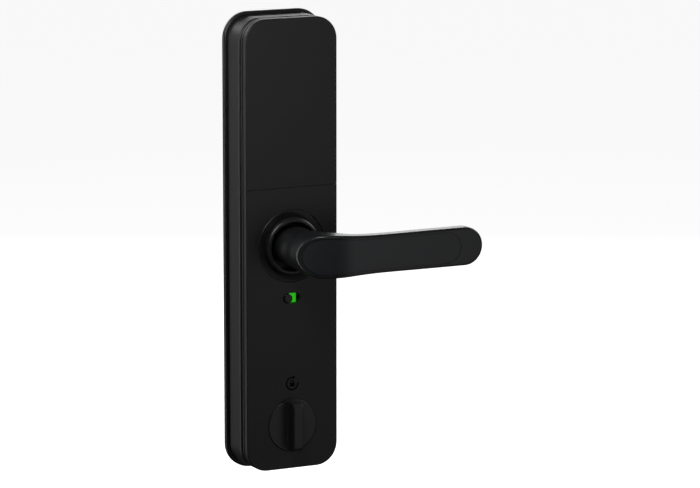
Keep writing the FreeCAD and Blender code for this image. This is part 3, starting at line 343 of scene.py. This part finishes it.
# %% [markdown]
# A circuit board is glass cloth under green lacquer, with copper tracks beneath that lift it by
# 0.04 mm. The tracks run straight and turn square, and a brick texture laid in the board's plane
# gives such runs cheaply: its mortar is the gap, its bricks are broad copper areas. A second, finer
# brick, turned upright, gives the narrow tracks, and the cloth's weave shows faintly between them.
# Bricks lie in the texture's X and Y, so the board's X and Z are brought there first.

# %% The circuit boards
UPRIGHT = math.pi / 2
COPPER_LIFT = 0.04 * MM
CLOTH = 0.4 * MM


def lacquered_board(name):
    """Green lacquer over copper tracks and glass cloth."""
    finish = Finish(name, (0, 0, 0), 0.3, Coat_Weight=0.4, Coat_Roughness=0.15)
    here = finish.node("ShaderNodeTexCoord", output="Object")
    flat = finish.node("ShaderNodeMapping", None, {"Vector": here, "Rotation": (UPRIGHT, 0.0, 0.0)})

    def tracks(width, height, gap, turn):
        turned = finish.node("ShaderNodeMapping", None, {"Vector": flat, "Rotation": (0.0, 0.0, turn)})
        inputs = {"Vector": turned, "Scale": 1.0, "Mortar Size": gap, "Brick Width": width,
                  "Row Height": height, "Mortar Smooth": 0.1}
        return finish.node("ShaderNodeTexBrick", None, inputs, output="Fac")

    broad = tracks(width=9.0 * MM, height=5.0 * MM, gap=0.25 * MM, turn=0.0)
    narrow = tracks(width=6.0 * MM, height=0.9 * MM, gap=0.18 * MM, turn=UPRIGHT)
    copper = 1 - finish.maths("MAXIMUM", broad, narrow)
    weave = finish.noise(CLOTH, 1.0)
    bare = finish.mix(weave, (0.006, 0.045, 0.018), (0.009, 0.06, 0.024))
    finish.set_socket("Base Color", finish.mix(copper, bare, (0.016, 0.13, 0.045)))
    finish.set_socket("Roughness", 0.26 + weave * 0.08)
    finish.set_socket("Normal", finish.bump(copper, COPPER_LIFT))
    return finish.material


boards = {"board_green": lacquered_board("board_lacquer")}
print("boards:", ", ".join(boards))

# %% [markdown]
# The frame's shapes are right as they are, all but the springs and the cells that come below, so
# they stay, and each takes the finish that its slot asks for. The name of a slot is the name of the
# material that the part arrived with.

# %% Give every node its finish
finishes = {**coats, **metals, **plastics, **boards}
waiting = set()
for name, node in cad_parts.items():
    slot_name = node.data.materials[0].name
    if slot_name in finishes:
        node.material_slots[0].material = finishes[slot_name]
    else:
        waiting.add(slot_name)
print("dressed", len(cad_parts), "nodes; still to come:", sorted(waiting))

# %% [markdown]
# Each battery contact ends in a small wound spring. A wound wire follows a rule, so Geometry Nodes
# make it: a spiral curve for the path, a circle swept along it for the wire, and the same spring set
# on a point at each place. The tree knows nothing of batteries, so any wound spring could use it.

# %% A geometry tree that winds springs
class Tree:
    """A Geometry Nodes group with named inputs, and one word for every node in it."""

    def __init__(self, name, inputs):
        self.group = bpy.data.node_groups.new(name, "GeometryNodeTree")
        face = self.group.interface
        face.new_socket("Geometry", in_out="INPUT", socket_type="NodeSocketGeometry")
        face.new_socket("Geometry", in_out="OUTPUT", socket_type="NodeSocketGeometry")
        for label, kind in inputs.items():
            face.new_socket(label, in_out="INPUT", socket_type=kind)
        self.start = self.group.nodes.new("NodeGroupInput")
        self.end = self.group.nodes.new("NodeGroupOutput")

    def given(self, label):
        return self.start.outputs[label]

    def add(self, kind, inputs, output=0):
        node = self.group.nodes.new(kind)
        for label, value in inputs.items():
            socket = node.inputs[label]
            if isinstance(value, bpy.types.NodeSocket):
                self.group.links.new(value, socket)
            else:
                socket.default_value = value
        return node.outputs[output]

    def finish(self, geometry, material, chosen=True):
        """Realises the instances, gives the chosen faces their material and closes the tree."""
        real = self.add("GeometryNodeRealizeInstances", {"Geometry": geometry})
        painted = self.add("GeometryNodeSetMaterial",
                           {"Geometry": real, "Selection": chosen, "Material": material})
        self.group.links.new(painted, self.end.inputs["Geometry"])

    def grow(self, name, seeds, values):
        """Runs the tree on a cloud of points and returns a plain mesh object at the origin."""
        cloud = bpy.data.meshes.new(name + "_points")
        cloud.from_pydata(seeds, [], [])
        source = bpy.data.objects.new(name + "_source", cloud)
        scene.collection.objects.link(source)
        modifier = source.modifiers.new("grow", "NODES")
        modifier.node_group = self.group
        sockets = {item.name: item.identifier for item in self.group.interface.items_tree
                   if item.in_out == "INPUT"}
        for label, value in values.items():
            modifier[sockets[label]] = value
        evaluated = source.evaluated_get(bpy.context.evaluated_depsgraph_get())
        mesh = bpy.data.meshes.new_from_object(evaluated)
        mesh.name = name
        source.modifiers.clear()
        bpy.data.objects.remove(source)
        piece = bpy.data.objects.new(name, mesh)
        scene.collection.objects.link(piece)
        return piece


def spring_tree(material):
    """A tree that sets a wound spring of the given wire on every point."""
    tree = Tree("wind_springs", {"Radius": "NodeSocketFloat", "Height": "NodeSocketFloat",
                                 "Wire": "NodeSocketFloat", "Turns": "NodeSocketFloat"})
    path = tree.add("GeometryNodeCurveSpiral", {
        "Resolution": 48, "Rotations": tree.given("Turns"), "Start Radius": tree.given("Radius"),
        "End Radius": tree.given("Radius"), "Height": tree.given("Height")})
    wire = tree.add("GeometryNodeCurvePrimitiveCircle", {"Resolution": 12, "Radius": tree.given("Wire")})
    wound = tree.add("GeometryNodeCurveToMesh", {"Curve": path, "Profile Curve": wire, "Fill Caps": True})
    smooth = tree.add("GeometryNodeSetShadeSmooth", {"Geometry": wound, "Shade Smooth": True})
    placed = tree.add("GeometryNodeInstanceOnPoints", {"Points": tree.given("Geometry"), "Instance": smooth})
    tree.finish(placed, material)
    return tree


MERGE_DISTANCE = 0.0005 * MM


def faces_out(piece):
    """Merges doubles, turns every face outwards and reports whether the shells are closed."""
    work = bmesh.new()
    work.from_mesh(piece.data)
    bmesh.ops.remove_doubles(work, verts=work.verts, dist=MERGE_DISTANCE)
    bmesh.ops.recalc_face_normals(work, faces=work.faces)
    open_edges = sum(1 for edge in work.edges if len(edge.link_faces) != 2)
    work.to_mesh(piece.data)
    work.free()
    print(piece.name, len(piece.data.polygons), "faces, open edges", open_edges)


# %% [markdown]
# The points are the feet of the springs' boxes in the frame. The radius and the height come from
# those boxes too, less the wire, and only the gauge and the number of turns are given.

# %% The battery springs
SPRING_WIRE = 0.28 * MM
SPRING_TURNS = 3.5
spring_nodes = ["battery_spring_%d" % number for number in range(1, 5)]
spring_boxes = [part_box(name) for name in spring_nodes]
low, high = spring_boxes[0]
spring_radius = (high[0] - low[0]) / 2 - SPRING_WIRE
spring_height = (high[2] - low[2]) - 2 * SPRING_WIRE
feet = [((a[0] + b[0]) / 2, (a[1] + b[1]) / 2, a[2] + SPRING_WIRE) for a, b in spring_boxes]
springs = spring_tree(metals["contact_nickel"]).grow("battery_springs", feet, {
    "Radius": spring_radius, "Height": spring_height, "Wire": SPRING_WIRE, "Turns": SPRING_TURNS})
faces_out(springs)
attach(springs, "casing")
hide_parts(*spring_nodes)

# %% [markdown]
# An AA cell is a drawn steel can in a printed sleeve. The sleeve stops a little short of the minus
# end, where its edge stands a tenth of a millimetre proud, and curls over the shoulder at the plus
# end as a collar round the button. The minus end is a plain dished disc. All of that is one profile
# turned round an axis, so a cell is spun in mesh code, with steel and sleeve as its two materials.

# %% Turn one cell
cell_box_low, cell_box_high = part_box("battery_cell_1")
CELL_RADIUS = (cell_box_high[0] - cell_box_low[0]) / 2
CELL_LENGTH = cell_box_high[2] - cell_box_low[2]
HALF_CELL = CELL_LENGTH / 2
NIPPLE_RADIUS = 2.7 * MM
NIPPLE_HEIGHT = 1.2 * MM
SLEEVE = 0.1 * MM
CRIMP = 0.9 * MM
DISH_DEPTH = 0.3 * MM
DISH_RADIUS = 4.6 * MM
CELL_SIDES = 48


def cell_profile():
    """(radius, height, wrapped) from the dished end at the bottom up to the button."""
    can = CELL_RADIUS - SLEEVE
    shoulder = HALF_CELL - NIPPLE_HEIGHT
    dish = DISH_DEPTH - HALF_CELL
    return [
        (0.0, dish, 0), (DISH_RADIUS, dish, 0), (DISH_RADIUS + 0.4 * MM, -HALF_CELL, 0),
        (can - 0.7 * MM, -HALF_CELL, 0), (can - 0.15 * MM, 0.25 * MM - HALF_CELL, 0),
        (can, 0.6 * MM - HALF_CELL, 0), (can, CRIMP - HALF_CELL, 1), (CELL_RADIUS, CRIMP - HALF_CELL, 1),
        (CELL_RADIUS, shoulder - 0.6 * MM, 1), (CELL_RADIUS - 0.2 * MM, shoulder - 0.12 * MM, 1),
        (CELL_RADIUS - 0.6 * MM, shoulder, 1), (5.4 * MM, shoulder, 1), (5.3 * MM, shoulder - 0.15 * MM, 0),
        (3.4 * MM, shoulder - 0.25 * MM, 0), (NIPPLE_RADIUS, shoulder - 0.05 * MM, 0),
        (NIPPLE_RADIUS, HALF_CELL - 0.35 * MM, 0), (NIPPLE_RADIUS - 0.1 * MM, HALF_CELL - 0.1 * MM, 0),
        (NIPPLE_RADIUS - 0.35 * MM, HALF_CELL, 0), (0.0, HALF_CELL, 0),
    ]


def spun(name, profile, sides, flip):
    """Turns a profile round Z: each band takes its material number from its upper point."""
    work = bmesh.new()
    sign = -1.0 if flip else 1.0
    rings = []
    for radius, height, _ in profile:
        if radius == 0.0:
            rings.append([work.verts.new((0.0, 0.0, sign * height))])
            continue
        angles = [2 * math.pi * step / sides for step in range(sides)]
        rings.append([work.verts.new((radius * math.cos(a), radius * math.sin(a), sign * height))
                      for a in angles])
    for lower, upper, (_, _, wrapped) in zip(rings, rings[1:], profile[1:]):
        for step in range(sides):
            following = (step + 1) % sides
            corners = [lower[step % len(lower)], lower[following % len(lower)],
                       upper[following % len(upper)], upper[step % len(upper)]]
            face = work.faces.new(list(dict.fromkeys(corners)))
            face.material_index = wrapped
            face.smooth = True
    bmesh.ops.recalc_face_normals(work, faces=work.faces)
    mesh = bpy.data.meshes.new(name)
    work.to_mesh(mesh)
    work.free()
    return mesh


def sleeve_print():
    """A printed sleeve: a near-black field, lightly scuffed, under a clear gloss."""
    finish = Finish("sleeve_print", (0, 0, 0), 0.25, Coat_Weight=0.6, Coat_Roughness=0.08)
    scuff = finish.noise(1.2 * MM, 4.0)
    speckle = finish.noise(0.2 * MM, 1.0)
    field = finish.mix(scuff, (0.012, 0.013, 0.016), (0.02, 0.021, 0.025))
    finish.set_socket("Base Color", field)
    finish.set_socket("Roughness", 0.2 + scuff * 0.14)
    finish.set_socket("Normal", finish.bump(speckle, 0.002 * MM))
    return finish.material


can_steel = metal("drawn_can_steel", (0.58, 0.57, 0.55), 0.27, ALONG_Z)
sleeve = sleeve_print()
print("cell in mm:", round(CELL_RADIUS * 2 / MM, 1), "wide,", round(CELL_LENGTH / MM, 1), "long")

# %% [markdown]
# Cells lie head to tail, so four of them stand on their buttons. The upright and the inverted cells
# are two pieces, each a pattern that Geometry Nodes set on the middles of the cells' boxes. The tree
# ends by giving the sleeve's material to the faces that are wrapped, and leaves the steel alone.

# %% Set the eight cells
CELL_COUNT = 8
BUTTON_DOWN = (1, 2, 5, 6)

for flip in (True, False):
    chosen = [number for number in range(1, CELL_COUNT + 1) if (number in BUTTON_DOWN) == flip]
    chosen_nodes = ["battery_cell_%d" % number for number in chosen]
    middles = [[(a + b) / 2 for a, b in zip(*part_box(node))] for node in chosen_nodes]
    pattern = spun("cell_pattern", cell_profile(), CELL_SIDES, flip)
    pattern.materials.append(can_steel)
    pattern.materials.append(sleeve)
    pattern_object = bpy.data.objects.new("cell_pattern", pattern)
    scene.collection.objects.link(pattern_object)
    tree = Tree("set_cells", {"Pattern": "NodeSocketObject"})
    shape = tree.add("GeometryNodeObjectInfo", {"Object": tree.given("Pattern")}, output="Geometry")
    placed = tree.add("GeometryNodeInstanceOnPoints", {"Points": tree.given("Geometry"), "Instance": shape})
    wrapped = tree.add("GeometryNodeMaterialSelection", {"Material": sleeve})
    tree.finish(placed, sleeve, wrapped)
    name = "cells_button_down" if flip else "cells_button_up"
    piece = tree.grow(name, middles, {"Pattern": pattern_object})
    bpy.data.objects.remove(pattern_object)
    faces_out(piece)
    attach(piece, "casing")
    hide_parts(*chosen_nodes)

# %% [markdown]
# The floor is one plain pale sheet, well below the lock, which hangs on nothing here. It is lit
# from within as well as by the lamps, so it stays an even white, and it is kept out of the
# reflections in the dark coats, as a studio keeps it out with black flags.

# %% The floor
FLOOR_DROP = 0.16
FLOOR_REACH = 30.0
floor_mesh = bpy.data.meshes.new("studio_floor")
floor_height = cad_low.z - FLOOR_DROP
quarters = ((-1, -1), (1, -1), (1, 1), (-1, 1))
corners = [(x * FLOOR_REACH, y * FLOOR_REACH, floor_height) for x, y in quarters]
floor_mesh.from_pydata(corners, [], [(0, 1, 2, 3)])
floor = bpy.data.objects.new("studio_floor", floor_mesh)
scene.collection.objects.link(floor)
floor_finish = Finish("studio_white", (0.9, 0.9, 0.9), 0.9)
floor_finish.set_socket("Emission Color", (1.0, 1.0, 1.0))
floor_finish.set_socket("Emission Strength", 0.9)
floor_mesh.materials.append(floor_finish.material)
floor.visible_diffuse = False
floor.visible_glossy = False
print("floor lies", round(FLOOR_DROP / MM), "mm below the lock")

# %% [markdown]
# Dark satin metal shows its lamps more than its own colour, so each lamp has one job. Two near lamps
# light the front, one from its right and one that lifts its upper left corner. A large lamp far in
# front is the one that the lever's long face mirrors. The tall ones at the left light the side wall
# and draw the bright line down the casing's edge. The wide ones behind are the sky in the top of the
# casing and of the lever. The last ones, high at the right and low in front, make the crescent in the
# rose and fill the underside a little. The near black between the lamps is as useful as they are,
# since the lever's elbow and the recesses have to mirror it.

# %% The lamps
def softbox(name, place, aim, width, height, power):
    """A soft rectangular lamp that faces a point."""
    data = bpy.data.lights.new(name, "AREA")
    data.shape = "RECTANGLE"
    data.size = width
    data.size_y = height
    data.energy = power
    lamp = bpy.data.objects.new(name, data)
    lamp.location = place
    lamp.rotation_euler = (Vector(aim) - Vector(place)).to_track_quat("-Z", "Y").to_euler()
    scene.collection.objects.link(lamp)


CENTRE = (0.0, -0.02, 0.0)
softbox("face_glow", (0.20, -0.50, 0.02), (0.0, -0.03, 0.08), 0.25, 0.30, 0.06)
softbox("face_top_left", (-0.17, -0.24, 0.24), (-0.02, -0.03, 0.12), 0.12, 0.12, 0.55)
softbox("front_far", (1.2, -2.3, -0.4), CENTRE, 1.2, 1.2, 1.9)
softbox("left_wall", (-1.4, 0.9, -0.2), CENTRE, 0.5, 1.8, 13.0)
softbox("left_edge", (-1.4, 0.42, -0.25), CENTRE, 0.25, 1.6, 2.5)
softbox("rear_sky", (0.7, 1.4, 0.5), CENTRE, 2.0, 0.6, 11.0)
softbox("rear_left_sky", (-0.5, 1.2, 0.7), CENTRE, 0.6, 0.5, 2.5)
softbox("crescent", (1.05, -0.15, 0.52), (0.0, -0.03, 0.0), 0.3, 0.3, 2.6)
softbox("front_low", (0.5, -1.0, -0.9), CENTRE, 0.8, 0.4, 0.5)

AIR_GLOW = 0.043
world = bpy.data.worlds.new("studio_air")
world.use_nodes = True
air = world.node_tree.nodes["Background"]
air.inputs["Color"].default_value = (1.0, 1.0, 1.0, 1.0)
air.inputs["Strength"].default_value = AIR_GLOW
scene.world = world
print("lamps:", ", ".join(lamp.name for lamp in bpy.data.lights))
